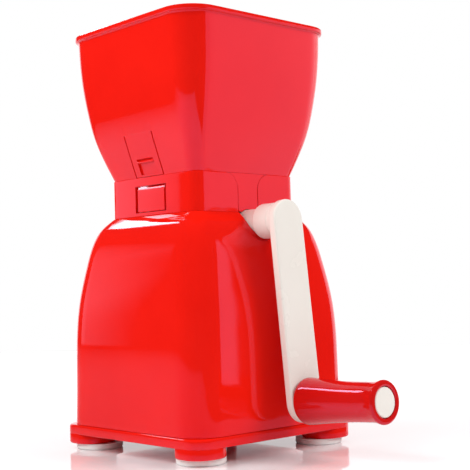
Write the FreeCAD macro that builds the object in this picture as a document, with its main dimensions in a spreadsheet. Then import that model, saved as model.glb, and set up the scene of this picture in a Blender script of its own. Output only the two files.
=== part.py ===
import FreeCAD, Part
import math
import os

import Sketcher
from FreeCAD import Placement, Rotation, Vector

# A free-standing hand crank meat grinder, in millimetres, +Z up.  The origin is on the axis of the
# square housing, on the table under the pads.  The crank is on the +X side and the front is -Y.
# The mincing screw lies along X in the neck.  It pushes the meat through a plate at its -X end,
# and the minced meat drops inside the bell-shaped housing, onto the base tray.

doc = FreeCAD.newDocument("meat_grinder")
sheet = doc.addObject("Spreadsheet::Sheet", "Dims")


class Length:
    """A length that knows its number and the sheet expression that gives it."""

    def __init__(self, value, text=None):
        self.value = float(value)
        self.text = text if text is not None else repr(float(value))

    def _join(self, sign, other, value):
        return Length(value, "(%s %s %s)" % (self.text, sign, other.text))

    def __add__(self, other):
        other = as_length(other)
        return self._join("+", other, self.value + other.value)

    def __sub__(self, other):
        other = as_length(other)
        return self._join("-", other, self.value - other.value)

    def __mul__(self, other):
        other = as_length(other)
        return self._join("*", other, self.value * other.value)

    def __radd__(self, other):
        return as_length(other) + self

    def __rsub__(self, other):
        return as_length(other) - self

    def __rmul__(self, other):
        return as_length(other) * self

    def __neg__(self):
        return Length(-self.value, "(-1 * %s)" % self.text)


def as_length(number):
    return number if isinstance(number, Length) else Length(number)


class Dimensions:
    """The driving dimensions: each becomes a row of the sheet and an attribute of this object."""

    def __init__(self, rows):
        for row, (alias, value, note) in enumerate(rows, start=1):
            sheet.set("A%d" % row, note)
            sheet.set("B%d" % row, repr(value))
            sheet.setAlias("B%d" % row, alias)
            setattr(self, alias, Length(value, "Dims." + alias))
        doc.recompute()


D = Dimensions([
    ("wall", 2.4, "moulded wall"),
    ("gap", 0.3, "clearance between separate mouldings"),
    ("pad_radius", 15.0, "foot pad radius"),
    ("pad_height", 3.8, "foot pad height, so the feet start here"),
    ("pad_reach", 50.5, "pad centre from the housing axis, in X and in Y"),
    ("plate_low", 10.0, "underside of the base plate"),
    ("plate_top", 16.0, "top of the base plate, where the housing stands"),
    ("plate_half", 68.0, "half width of the base plate"),
    ("plate_corner", 12.5, "corner radius of the base plate and its feet"),
    ("foot_inner", 39.3, "inner edge of a foot block from the housing axis"),
    ("rib_half", 63.7, "half width of the rib that centres the housing"),
    ("rib_corner", 17.2, "corner radius of that rib"),
    ("rib_height", 4.5, "height of that rib"),
    ("bell_half", 66.6, "half width of the housing at its foot"),
    ("neck_low", 149.0, "top of the housing and foot of the neck"),
    ("neck_top", 173.5, "top of the neck, where the hopper sits"),
    ("neck_half", 43.6, "half width of the neck"),
    ("neck_corner", 8.0, "corner radius of the neck"),
    ("ledge_half", 37.6, "half width of the opening in the neck's ledge"),
    ("ledge_height", 2.0, "thickness of the neck's ledge"),
    ("slot_half", 8.75, "half width of the shaft slot in the neck"),
    ("slot_lead", 10.0, "lead-in radius at the top of the shaft slot"),
    ("latch_half", 13.8, "half width of a snap tongue"),
    ("latch_root", 200.0, "height of a snap tongue's root"),
    ("catch_half", 15.5, "half width of a catch window in the neck"),
    ("catch_top", 168.0, "top of a catch window"),
    ("rim_low", 266.6, "underside of the hopper rim"),
    ("rim_top", 269.8, "top of the hopper rim"),
    ("rim_half", 64.1, "half width of the hopper rim"),
    ("hopper_half", 62.1, "half width of the hopper under the rim"),
    ("hopper_corner", 19.5, "corner radius of the hopper under the rim"),
    ("axis_height", 142.2, "height of the crank axis"),
    ("shaft_radius", 8.3, "drive shaft journal radius"),
    ("running", 0.05, "radial running clearance"),
    ("bush_wall", 2.0, "wall of the shaft bush"),
    ("barrel_radius", 17.6, "bore of the barrel"),
    ("barrel_wall", 3.0, "wall of the half barrels"),
    ("trough_radius", 21.3, "outer radius of the trough"),
    ("barrel_end", 37.0, "crank end of the barrel along X"),
    ("bore_end", 33.5, "crank end of the barrel's bore along X"),
    ("plate_front", -19.2, "face of the mincing plate towards the knife, along X"),
    ("plate_back", -23.2, "outlet face of the mincing plate, along X"),
    ("barrel_mouth", -26.0, "outlet end of the barrel, along X"),
    ("disc_radius", 19.2, "mincing plate radius"),
    ("deck_top", 153.4, "top of the deck that carries the trough"),
    ("screw_core", 8.0, "feed screw core radius"),
    ("screw_flight", 16.9, "feed screw flight radius"),
    ("screw_pitch", 15.0, "feed screw pitch"),
    ("knife_radius", 16.6, "cross knife radius"),
    ("hub_radius", 10.9, "crank hub radius"),
    ("hub_start", 56.4, "inner end of the crank hub along X"),
    ("hub_seat", 1.2, "depth and margin of the round seat in the housing under the hub"),
    ("arm_face", 73.4, "inner face of the crank arm at the hub, along X"),
    ("arm_thick", 5.4, "thickness of the crank arm"),
    ("arm_length", 110.0, "crank axis to grip axis"),
    ("arm_top", 12.2, "end radius of the arm at the hub"),
    ("arm_foot", 12.9, "end radius of the arm at the grip"),
    ("arm_lean", 2.8, "outward lean of the arm, degrees"),
    ("arm_turn", 3.0, "turn of the arm at rest, degrees"),
    ("grip_length", 59.4, "grip length"),
    ("grip_radius", 14.2, "grip radius at the arm"),
    ("grip_waist", 11.4, "grip radius at its waist"),
    ("grip_flare", 12.6, "grip radius at its outer end"),
    ("cap_radius", 8.7, "grip end cap radius"),
    ("pin_radius", 4.5, "grip pin radius"),
])

# Small sizes that one piece or one pair of pieces share.
PAD_STEM = 4.0          # radius of a pad's stem
PILOT_RADIUS = 3.0      # shaft end that runs in the mincing plate
KNIFE_THICK = 2.8       # knife and its hub along X
KNIFE_SQUARE = 3.6      # half side of the shaft's square in the knife
SHAFT_SQUARE = 4.6      # half side of the shaft's square in the crank hub
SOCKET_DEPTH = 14.0     # the shaft's square tenon along X
HUB_SOCKET = 15.0       # socket in the crank hub along X
HOPPER_FLOOR = 175.5    # height where the feed throat fills the hopper
THROAT_X = 14.0         # centre of the throat along X
WASHER_THICK = 0.9      # grip washer
CAP_THICK = 2.4         # grip end cap
TAB_HALF = 8.2          # half width of the fingertip recess in a snap tongue

PLANE_ROLES = {"XY": "XY_Plane", "XZ": "XZ_Plane", "YZ": "YZ_Plane"}


# ---------------------------------------------------------------- sketches and features

def bind(thing, path, length):
    thing.setExpression(path, as_length(length).text)


def new_body(label):
    part = doc.addObject("PartDesign::Body", label)
    part.Label = label
    return part


def new_sketch(part, plane="XY", offset=0.0):
    """A sketch on one of the body's origin planes, moved along the plane's normal by offset."""
    offset = as_length(offset)
    drawing = part.newObject("Sketcher::SketchObject", part.Label + "_sketch")
    role = PLANE_ROLES[plane]
    support = [face for face in part.Origin.OriginFeatures if face.Role == role][0]
    drawing.AttachmentSupport = [(support, "")]
    drawing.MapMode = "FlatFace"
    drawing.AttachmentOffset = Placement(Vector(0, 0, offset.value), Rotation())
    bind(drawing, "AttachmentOffset.Base.z", offset)
    return drawing


def hold(drawing, kind, geometry, point, length):
    """Holds one point of a piece of geometry at a distance from the sketch's origin."""
    length = as_length(length)
    index = drawing.addConstraint(Sketcher.Constraint(kind, -1, 1, geometry, point, length.value))
    bind(drawing, "Constraints[%d]" % index, length)


def hold_radius(drawing, geometry, length):
    length = as_length(length)
    index = drawing.addConstraint(Sketcher.Constraint("Radius", geometry, length.value))
    bind(drawing, "Constraints[%d]" % index, length)


def draw_polygon(drawing, corners):
    """A closed outline through corners, each given as (x, y)."""
    corners = [(as_length(x), as_length(y)) for x, y in corners]
    spots = [Vector(x.value, y.value, 0) for x, y in corners]
    following = spots[1:] + spots[:1]
    edges = [drawing.addGeometry(Part.LineSegment(a, b), False) for a, b in zip(spots, following)]
    for edge, after, (x, y) in zip(edges, edges[1:] + edges[:1], corners):
        drawing.addConstraint(Sketcher.Constraint("Coincident", edge, 2, after, 1))
        hold(drawing, "DistanceX", edge, 1, x)
        hold(drawing, "DistanceY", edge, 1, y)


def draw_box(drawing, x_low, x_high, y_low, y_high):
    draw_polygon(drawing, [(x_low, y_low), (x_high, y_low), (x_high, y_high), (x_low, y_high)])


def draw_circle(drawing, x, y, radius):
    x, y, radius = as_length(x), as_length(y), as_length(radius)
    shape = Part.Circle(Vector(x.value, y.value, 0), Vector(0, 0, 1), radius.value)
    ring = drawing.addGeometry(shape, False)
    hold(drawing, "DistanceX", ring, 3, x)
    hold(drawing, "DistanceY", ring, 3, y)
    hold_radius(drawing, ring, radius)


def draw_rounded_square(drawing, half, corner, x=0, y=0):
    """A square of half width half about the point (x, y), with corners of radius corner."""
    half, corner, x, y = [as_length(v) for v in (half, corner, x, y)]
    out, cut = half.value, corner.value
    flat = out - cut
    up = Vector(0, 0, 1)
    middle = Vector(x.value, y.value, 0)
    sides = [((-flat, out), (flat, out)), ((out, flat), (out, -flat)),
             ((flat, -out), (-flat, -out)), ((-out, -flat), (-out, flat))]
    top, right, bottom, left = [drawing.addGeometry(Part.LineSegment(
        middle + Vector(*a, 0), middle + Vector(*b, 0)), False) for a, b in sides]
    quarter = math.pi / 2
    arcs = []
    for turn, (u, v) in enumerate([(flat, flat), (-flat, flat), (-flat, -flat), (flat, -flat)]):
        ring = Part.Circle(middle + Vector(u, v, 0), up, cut)
        arc = Part.ArcOfCircle(ring, turn * quarter, (turn + 1) * quarter)
        arcs.append(drawing.addGeometry(arc, False))
    ends = [(right, 1, arcs[0], 1), (top, 2, arcs[0], 2), (top, 1, arcs[1], 1), (left, 2, arcs[1], 2),
            (left, 1, arcs[2], 1), (bottom, 2, arcs[2], 2), (bottom, 1, arcs[3], 1), (right, 2, arcs[3], 2)]
    for line, line_end, arc, arc_end in ends:
        drawing.addConstraint(Sketcher.Constraint("Tangent", line, line_end, arc, arc_end))
    for line in (top, bottom):
        drawing.addConstraint(Sketcher.Constraint("Horizontal", line))
    for line in (left, right):
        drawing.addConstraint(Sketcher.Constraint("Vertical", line))
    for arc in arcs[1:]:
        drawing.addConstraint(Sketcher.Constraint("Equal", arcs[0], arc))
    hold_radius(drawing, arcs[0], corner)
    hold(drawing, "DistanceX", right, 1, x + half)
    hold(drawing, "DistanceX", left, 1, x - half)
    hold(drawing, "DistanceY", top, 1, y + half)
    hold(drawing, "DistanceY", bottom, 1, y - half)


def extrude(part, drawing, length, cut=False, reverse=False, both=False):
    """Pads or pockets a sketch by length; reverse turns it to the other side of its plane."""
    kind = "PartDesign::Pocket" if cut else "PartDesign::Pad"
    feature = part.newObject(kind, part.Label + "_step")
    feature.Profile = drawing
    feature.Length = as_length(length).value
    bind(feature, "Length", length)
    feature.Reversed = reverse
    feature.Midplane = both
    drawing.Visibility = False
    return feature


def loft(part, drawings, cut=False):
    kind = "PartDesign::SubtractiveLoft" if cut else "PartDesign::AdditiveLoft"
    feature = part.newObject(kind, part.Label + "_loft")
    feature.Profile = drawings[0]
    feature.Sections = drawings[1:]
    return feature


def spin(part, drawing, axis="X", cut=False):
    """Turns a sketch a full turn about one of the body's origin axes."""
    kind = "PartDesign::Groove" if cut else "PartDesign::Revolution"
    feature = part.newObject(kind, part.Label + "_turned")
    feature.Profile = drawing
    line = [item for item in part.Origin.OriginFeatures if item.Role == axis + "_Axis"][0]
    feature.ReferenceAxis = (line, [""])
    feature.Angle = 360
    return feature


def square_prism(part, half, corner, low, high, cut=False):
    """Adds or cuts a rounded square block about the housing axis between two heights."""
    drawing = new_sketch(part, "XY", low)
    draw_rounded_square(drawing, half, corner)
    return extrude(part, drawing, as_length(high) - low, cut, reverse=cut)


def block(part, x_low, x_high, y_low, y_high, z_low, z_high, cut=False):
    """Adds or cuts a plain box."""
    drawing = new_sketch(part, "XY", z_low)
    draw_box(drawing, x_low, x_high, y_low, y_high)
    return extrude(part, drawing, as_length(z_high) - z_low, cut, reverse=cut)


def disc_x(part, radius, x_low, x_high, cut=False, height=D.axis_height):
    """Adds or cuts a round bar along X."""
    drawing = new_sketch(part, "YZ", x_low)
    draw_circle(drawing, 0, height, radius)
    return extrude(part, drawing, as_length(x_high) - x_low, cut, reverse=cut)


def square_loft(part, sections, cut=False):
    """Lofts through rounded squares given as (height, half width, corner radius)."""
    drawings = []
    for height, half, corner in sections:
        drawing = new_sketch(part, "XY", height)
        draw_rounded_square(drawing, half, corner)
        drawings.append(drawing)
    return loft(part, drawings, cut)


def turned(label, outline, axis="X"):
    """A body turned from an outline in the XY plane about X, or in the XZ plane about Z."""
    part = new_body(label)
    drawing = new_sketch(part, "XY" if axis == "X" else "XZ")
    draw_polygon(drawing, outline)
    spin(part, drawing, axis)
    return part


def place(part, x, y, z):
    """Moves a finished sub-part to where it belongs."""
    part.Placement = Placement(Vector(*[as_length(v).value for v in (x, y, z)]), Rotation())
    for letter, value in zip("xyz", (x, y, z)):
        bind(part, "Placement.Base." + letter, value)


# ---------------------------------------------------------------- base

def make_base_tray():
    """A square plate on four corner feet, with a rib that centres the housing."""
    part = new_body("base_tray")
    square_prism(part, D.plate_half, D.plate_corner, D.plate_low, D.plate_top)
    foot_half = (D.plate_half - D.foot_inner) * 0.5
    foot_reach = D.plate_half - foot_half
    for x in (-1, 1):
        for y in (-1, 1):
            drawing = new_sketch(part, "XY", D.pad_height)
            draw_rounded_square(drawing, foot_half, D.plate_corner, x * foot_reach, y * foot_reach)
            extrude(part, drawing, D.plate_low + 1 - D.pad_height)
    rib_top = D.plate_top + D.rib_height
    square_prism(part, D.rib_half, D.rib_corner, D.plate_top, rib_top)
    square_prism(part, D.rib_half - 2, D.rib_corner - 2, D.plate_top - 2.5, rib_top + 1, cut=True)
    for x in (-1, 1):
        for y in (-1, 1):
            drawing = new_sketch(part, "XY", D.pad_height - 1)
            draw_circle(drawing, x * D.pad_reach, y * D.pad_reach, PAD_STEM)
            extrude(part, drawing, 6, cut=True, reverse=True)
    return part


def make_foot_pad(number, x, y):
    """A white pad with a rounded lower edge and a stem that presses into the foot."""
    tall = D.pad_height
    part = turned("foot_pad_%d" % number, [
        (0, 0), (D.pad_radius - 1.2, 0), (D.pad_radius - 0.35, 0.35), (D.pad_radius, 1.2),
        (D.pad_radius, tall), (PAD_STEM, tall), (PAD_STEM, tall + 4.5), (0, tall + 4.5)], "Z")
    place(part, x * D.pad_reach, y * D.pad_reach, 0)
    return part


# ---------------------------------------------------------------- housing and neck

# Height, half width and corner radius of the bell, from its foot to the neck.
BELL = [(D.plate_top, D.bell_half, 19.0), (68, 65.8, 19.0), (95, 63.9, 18.5), (118, 60.3, 17.0),
        (134, 56.0, 15.0), (143, 51.2, 12.0), (D.neck_low, 43.6, 8.5)]


def make_bell_housing():
    """The bell: a rounded square shell that draws in to the neck, notched for the shaft."""
    part = new_body("bell_housing")
    square_loft(part, BELL)
    inner = [(z, half - D.wall, corner - D.wall) for z, half, corner in BELL[:4]]
    inner += [(132, 54.2, 12.6), (140, 50.1, 10.0), (146, 43.0, 7.0)]
    square_loft(part, inner, cut=True)
    square_prism(part, D.neck_half - D.wall, D.neck_corner - D.wall, 145, D.neck_low + 1, cut=True)
    cut_shaft_slot(part, D.neck_low + 1)
    return part


def cut_shaft_slot(part, top):
    """Cuts the slot that the shaft drops into, through the +X wall, and the seat round its foot."""
    disc_x(part, D.slot_half, 30, 62, cut=True)
    disc_x(part, D.hub_radius + D.hub_seat, D.hub_start - D.hub_seat, 62, cut=True)
    block(part, 30, 62, -D.slot_half, D.slot_half, D.axis_height, top, cut=True)


def make_neck_collar():
    """A square ring with a ledge inside, a shaft slot and two catch windows."""
    part = new_body("neck_collar")
    square_prism(part, D.neck_half, D.neck_corner, D.neck_low, D.neck_top)
    inner_half = D.neck_half - D.wall
    ledge_top = D.neck_low + D.ledge_height
    square_prism(part, inner_half, D.neck_corner - D.wall, ledge_top, D.neck_top + 1, cut=True)
    square_prism(part, D.ledge_half, 3, D.neck_low - 1, ledge_top + 1, cut=True)
    drawing = new_sketch(part, "YZ", 30)
    draw_slot_outline(drawing, D.slot_half, D.neck_low - 1, D.neck_top, D.slot_lead)
    extrude(part, drawing, 30, cut=True, reverse=True)
    window = new_sketch(part, "XZ", 0)
    draw_box(window, -D.catch_half, D.catch_half, ledge_top, D.catch_top)
    extrude(part, window, 2 * D.neck_half + 10, cut=True, both=True)
    return part


def draw_slot_outline(drawing, half, low, top, lead):
    """A slot of half width half whose top edges turn outwards with quarter rounds of radius lead."""
    half, low, top, lead = [as_length(v) for v in (half, low, top, lead)]
    turn_height = top - lead
    wide = half + lead
    up = Vector(0, 0, 1)

    def line(x_a, y_a, x_b, y_b):
        return drawing.addGeometry(Part.LineSegment(Vector(x_a, y_a, 0), Vector(x_b, y_b, 0)), False)

    h, w, lo, tu, to, r = [v.value for v in (half, wide, low, turn_height, top, lead)]
    bottom = line(-h, lo, h, lo)
    right = line(h, lo, h, tu)
    right_arc = drawing.addGeometry(
        Part.ArcOfCircle(Part.Circle(Vector(w, tu, 0), up, r), math.pi / 2, math.pi), False)
    head = line(w, to, -w, to)
    left_arc = drawing.addGeometry(
        Part.ArcOfCircle(Part.Circle(Vector(-w, tu, 0), up, r), 0, math.pi / 2), False)
    left = line(-h, tu, -h, lo)
    for first, first_end, second, second_end in [
            (bottom, 2, right, 1), (right_arc, 1, head, 1), (head, 2, left_arc, 2), (left, 2, bottom, 1)]:
        drawing.addConstraint(Sketcher.Constraint("Coincident", first, first_end, second, second_end))
    drawing.addConstraint(Sketcher.Constraint("Tangent", right, 2, right_arc, 2))
    drawing.addConstraint(Sketcher.Constraint("Tangent", left, 1, left_arc, 1))
    for corner, point, x, y in [(bottom, 1, -half, low), (bottom, 2, half, low), (head, 1, wide, top),
                                (head, 2, -wide, top), (right, 2, half, turn_height),
                                (left, 1, -half, turn_height)]:
        hold(drawing, "DistanceX", corner, point, x)
        hold(drawing, "DistanceY", corner, point, y)


# ---------------------------------------------------------------- mincer in the neck

def make_barrel_trough():
    """The lower half barrel, hung from a deck that drops into the neck and rests on its ledge."""
    part = new_body("barrel_trough")
    deck_half = D.neck_half - D.wall - D.gap
    deck_low = D.neck_low + D.ledge_height
    side = D.trough_radius + 2.3
    square_prism(part, deck_half, D.neck_corner - D.wall, deck_low, D.deck_top)
    block(part, -deck_half - 1, D.barrel_mouth, -deck_half - 1, deck_half + 1, deck_low - 1,
          D.deck_top + 1, cut=True)
    for y in (-1, 1):
        notch = sorted([y * (deck_half.value - 4.4), y * (deck_half.value + 1)])
        block(part, -D.catch_half, D.catch_half, *notch, deck_low - 1, D.deck_top + 1, cut=True)
    disc_x(part, D.trough_radius, D.barrel_mouth, D.barrel_end)
    block(part, D.barrel_mouth, D.barrel_end, -side, side, D.axis_height - D.barrel_wall, D.deck_top)
    inside = D.trough_radius - D.gap
    above = D.deck_top + 12
    block(part, D.barrel_mouth - 1, D.barrel_end + D.gap, -inside, inside, D.axis_height, above, cut=True)
    disc_x(part, D.barrel_radius, D.plate_front, D.bore_end, cut=True)
    disc_x(part, D.disc_radius + D.running, D.plate_back - 0.1, D.plate_front + 0.1, cut=True)
    disc_x(part, D.disc_radius - 2.6, D.barrel_mouth - 1, D.plate_back, cut=True)
    disc_x(part, D.shaft_radius + D.running + D.bush_wall, D.bore_end - 1, D.barrel_end + 1, cut=True)
    block(part, D.barrel_end - 1, deck_half + 1, -D.slot_half, D.slot_half, deck_low - 1, above, cut=True)
    return part


def make_shaft_bush():
    part = turned("shaft_bush", [
        (D.bore_end + 0.1, D.shaft_radius + D.running), (D.barrel_end, D.shaft_radius + D.running),
        (D.barrel_end, D.shaft_radius + D.running + D.bush_wall),
        (D.bore_end + 0.1, D.shaft_radius + D.running + D.bush_wall)])
    place(part, 0, 0, D.axis_height)
    return part


def make_mincing_plate():
    """A round plate with a pilot hole and three rings of mincing holes."""
    part = new_body("mincing_plate")
    thick = D.plate_front - D.plate_back
    drawing = new_sketch(part, "YZ", 0)
    draw_circle(drawing, 0, 0, D.disc_radius - D.running)
    draw_circle(drawing, 0, 0, PILOT_RADIUS + D.running)
    extrude(part, drawing, thick)
    for count, ring_radius in [(7, 6.2), (12, 10.4), (16, 14.4)]:
        hole = new_sketch(part, "YZ", -1)
        draw_circle(hole, ring_radius, 0, 1.65)
        pocket = extrude(part, hole, thick + 2, cut=True, reverse=True)
        pattern = part.newObject("PartDesign::PolarPattern", part.Label + "_ring")
        pattern.Originals = [pocket]
        line = [item for item in part.Origin.OriginFeatures if item.Role == "X_Axis"][0]
        pattern.Axis = (line, [""])
        pattern.Angle = 360
        pattern.Occurrences = count
        part.Tip = pattern
    place(part, D.plate_back, 0, D.axis_height)
    return part


def square_x(part, half, x_low, x_high, cut=False):
    """Adds or cuts a square bar along X, on the part's own X axis."""
    drawing = new_sketch(part, "YZ", x_low)
    draw_box(drawing, -half, half, -half, half)
    return extrude(part, drawing, as_length(x_high) - x_low, cut, reverse=cut)


def make_feed_screw():
    """A cored screw with one rising flight, a square for the knife and a pilot pin for the plate."""
    part = new_body("feed_screw")
    tail = D.plate_front + KNIFE_THICK + 0.2
    head = D.bore_end - 1.3
    disc_x(part, D.screw_core, tail, head, height=0)
    profile = new_sketch(part, "XY", 0)
    root = D.screw_core - 1
    draw_polygon(profile, [(tail + 1, root), (tail + 5, root), (tail + 3.9, D.screw_flight),
                           (tail + 2.1, D.screw_flight)])
    flight = part.newObject("PartDesign::AdditiveHelix", "feed_screw_flight")
    flight.Profile = profile
    line = [item for item in part.Origin.OriginFeatures if item.Role == "X_Axis"][0]
    flight.ReferenceAxis = (line, [""])
    flight.Mode = 0
    flight.Pitch = D.screw_pitch.value
    bind(flight, "Pitch", D.screw_pitch)
    length = head - tail - 6.2
    flight.Height = length.value
    bind(flight, "Height", length)
    square_x(part, KNIFE_SQUARE, D.plate_front + 0.1, tail + 0.5)
    disc_x(part, PILOT_RADIUS, D.plate_back, D.plate_front + 0.6, height=0)
    square_x(part, SHAFT_SQUARE, head - SOCKET_DEPTH, head + 1, cut=True)
    place(part, 0, 0, D.axis_height)
    return part


def make_cross_knife():
    """Four blades on a square-bored hub, next to the mincing plate."""
    part = new_body("cross_knife")
    thick = KNIFE_THICK
    disc_x(part, 7.0, 0, thick, height=0)
    long, wide = D.knife_radius, 3.0
    for y_half, z_half in [(long, wide), (wide, long)]:
        drawing = new_sketch(part, "YZ", 0)
        draw_box(drawing, -y_half, y_half, -z_half, z_half)
        extrude(part, drawing, thick)
    square_x(part, KNIFE_SQUARE, -1, thick + 1, cut=True)
    place(part, D.plate_front + 0.1, 0, D.axis_height)
    return part


def make_thrust_washer():
    low, high = D.bore_end - 1.2, D.bore_end - 0.1
    inner, outer = D.shaft_radius + D.running, D.shaft_radius + 5.0
    part = turned("thrust_washer", [(low, inner), (high, inner), (high, outer), (low, outer)])
    place(part, 0, 0, D.axis_height)
    return part


def make_drive_shaft():
    """The journal, with a square tenon at each end: one in the feed screw, one in the hub."""
    part = new_body("drive_shaft")
    disc_x(part, D.shaft_radius, D.bore_end - 1.3, D.hub_start, height=0)
    tenon_start = D.bore_end - 1.3 - SOCKET_DEPTH
    square_x(part, SHAFT_SQUARE, tenon_start, D.bore_end - 1)
    square_x(part, SHAFT_SQUARE, D.hub_start - 1, D.hub_start + HUB_SOCKET)
    place(part, 0, 0, D.axis_height)
    return part


# ---------------------------------------------------------------- hopper

# Height, half width and corner radius of the hopper, from the neck to the rim.
HOPPER = [(D.neck_top, D.neck_half, 9.0), (187, 48.5, 10.0), (201, 53.2, 12.5), (217, 57.0, 15.5),
          (236, 60.1, 18.0), (252, 61.5, 19.0), (D.rim_low, D.hopper_half, D.hopper_corner)]


def make_hopper_shell():
    """The flared hopper with its rim, its spigot in the neck and the key that fills the slot."""
    part = new_body("hopper_shell")
    square_loft(part, HOPPER)
    square_prism(part, D.rim_half, D.hopper_corner + 2, D.rim_low, D.rim_top)
    spigot_half = D.neck_half - D.wall - D.gap
    spigot_low = D.deck_top + 0.2
    square_prism(part, spigot_half, 5.0, spigot_low, D.neck_top)
    drawing = new_sketch(part, "YZ", spigot_half - 1)
    draw_slot_outline(drawing, D.slot_half - D.gap, D.neck_low + D.ledge_height, D.neck_top,
                      D.slot_lead)
    extrude(part, drawing, D.wall + D.gap + 0.7)
    inner = [(z, half - D.wall, corner - D.wall) for z, half, corner in HOPPER[1:-1]]
    inner.insert(0, (HOPPER_FLOOR, 42.1, 7.0))
    inner.append((D.rim_top + 1, D.hopper_half - D.wall, D.hopper_corner - D.wall))
    square_loft(part, inner, cut=True)
    square_prism(part, spigot_half - D.wall, 3.0, D.neck_low, HOPPER_FLOOR + 1, cut=True)
    window = new_sketch(part, "XZ", 0)
    reach = D.latch_half + D.gap
    draw_box(window, -reach, reach, D.neck_low - 1, D.latch_root)
    extrude(part, window, 2 * D.hopper_half, cut=True, both=True)
    return part


def make_feed_throat():
    """A funnel floor for the hopper, its throat and the upper half of the barrel, in one moulding."""
    part = new_body("feed_throat")
    outer = D.barrel_radius + D.barrel_wall
    disc_x(part, outer, D.barrel_mouth, D.barrel_end)
    funnel_top, funnel_low = HOPPER_FLOOR + 2, 162.0
    box_throat(part, 38.0, funnel_top, 17.0, 17.0, funnel_low, cut=False)
    block(part, THROAT_X - 17, THROAT_X + 17, -17, 17, D.axis_height + 5, funnel_low)
    block(part, D.barrel_mouth - 1, D.barrel_end + 1, -outer - 1, outer + 1, D.axis_height - outer - 1,
          D.axis_height + 0.3, cut=True)
    box_throat(part, 36.0, funnel_top, 15.0, 15.0, funnel_low, cut=True)
    block(part, THROAT_X - 15, THROAT_X + 15, -15, 15, D.axis_height + 4, funnel_low + 0.5, cut=True)
    disc_x(part, D.barrel_radius, D.plate_front, D.bore_end, cut=True)
    disc_x(part, D.disc_radius + D.running, D.plate_back - 0.1, D.plate_front + 0.1, cut=True)
    disc_x(part, D.disc_radius - 2.6, D.barrel_mouth - 1, D.plate_back, cut=True)
    disc_x(part, D.shaft_radius + D.running + D.bush_wall + 0.1, D.bore_end - 1, D.barrel_end + 1,
           cut=True)
    return part


def box_throat(part, top_half, top, low_half_x, low_half_y, low, cut):
    """Lofts from a square about the housing axis down to the throat."""
    upper = new_sketch(part, "XY", top)
    draw_box(upper, -top_half, top_half, -top_half, top_half)
    lower = new_sketch(part, "XY", low)
    draw_box(lower, THROAT_X - low_half_x, THROAT_X + low_half_x, -low_half_y, low_half_y)
    feature = loft(part, [upper, lower], cut)
    feature.Ruled = True


def make_latch_tongue(label, side):
    """A snap tongue: the strip of hopper wall, its step into the neck, the hook that fills the
    window, and a fingertip recess with a ribbed top to press it by."""
    part = new_body(label)
    spigot_half = D.neck_half - D.wall - D.gap
    root = D.latch_root
    hook = D.neck_half - D.gap
    outline = [
        (52.9, root), (D.neck_half + 0.2, D.neck_top + 0.2), (spigot_half, D.neck_top + 0.2),
        (spigot_half, D.catch_top - 0.4), (hook - 1.1, D.catch_top - 0.4), (hook, D.catch_top - 1.9),
        (hook, D.neck_low + D.ledge_height + 0.4), (hook - 1.6, D.neck_low + D.ledge_height + 0.4),
        (hook - 1.6, D.deck_top + 0.4), (spigot_half - D.wall, D.deck_top + 0.4), (spigot_half - D.wall, HOPPER_FLOOR - 0.6),
        (42.1, HOPPER_FLOOR + 0.4), (50.4, root)]
    drawing = new_sketch(part, "YZ", 0)
    draw_polygon(drawing, [(side * as_length(y), z) for y, z in outline])
    extrude(part, drawing, 2 * D.latch_half, both=True)
    for recess in [[(43.0, 175.2), (45.0, 175.2), (48.0, 182.3), (45.5, 182.3)],
                   [(46.5, 184.7), (46.9, 183.9), (49.0, 183.9), (49.0, 184.7)]]:
        drawing = new_sketch(part, "YZ", 0)
        draw_polygon(drawing, [(side * as_length(y), z) for y, z in recess])
        extrude(part, drawing, 2 * TAB_HALF, cut=True, both=True)
    return part


# ---------------------------------------------------------------- crank and grip

def lean(part):
    """Places a piece drawn in the arm's own frame: origin on the crank axis, arm along -Z."""
    part.Placement = Placement(Vector(D.arm_face.value, 0, D.axis_height.value),
                               Rotation(Vector(1, 0, 0), D.arm_turn.value)
                               * Rotation(Vector(0, 1, 0), -D.arm_lean.value))
    bind(part, "Placement.Base.x", D.arm_face)
    bind(part, "Placement.Base.z", D.axis_height)
    return part


def make_crank_arm():
    """The flat arm and its hub, one moulding."""
    arm = new_body("arm_blade")
    drawing = new_sketch(arm, "YZ", 0)
    draw_tapered_link(drawing, D.arm_top, D.arm_foot, D.arm_length)
    extrude(arm, drawing, D.arm_thick)
    bore = new_sketch(arm, "YZ", -1)
    draw_circle(bore, 0, -D.arm_length, D.pin_radius - 0.5)
    extrude(arm, bore, 20, cut=True, reverse=True)
    lean(arm)
    hub = turned("arm_hub", [
        (0, 0), (0, D.hub_radius - 2.6), (0.8, D.hub_radius - 1.0), (2.6, D.hub_radius),
        (D.arm_face - D.hub_start + 2.5, D.hub_radius), (D.arm_face - D.hub_start + 2.5, 0)])
    place(hub, D.hub_start, 0, D.axis_height)
    solid = doc.addObject("Part::MultiFuse", "arm_solid")
    solid.Shapes = [arm, hub]
    socket = doc.addObject("Part::Box", "arm_socket")
    for name, value in [("Length", HUB_SOCKET + 1), ("Width", 2 * SHAFT_SQUARE), ("Height", 2 * SHAFT_SQUARE)]:
        setattr(socket, name, value)
    place(socket, D.hub_start - 1, -SHAFT_SQUARE, D.axis_height - SHAFT_SQUARE)
    result = doc.addObject("Part::Cut", "crank_arm")
    result.Base = solid
    result.Tool = socket
    result.Label = "crank_arm"
    return result


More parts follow.
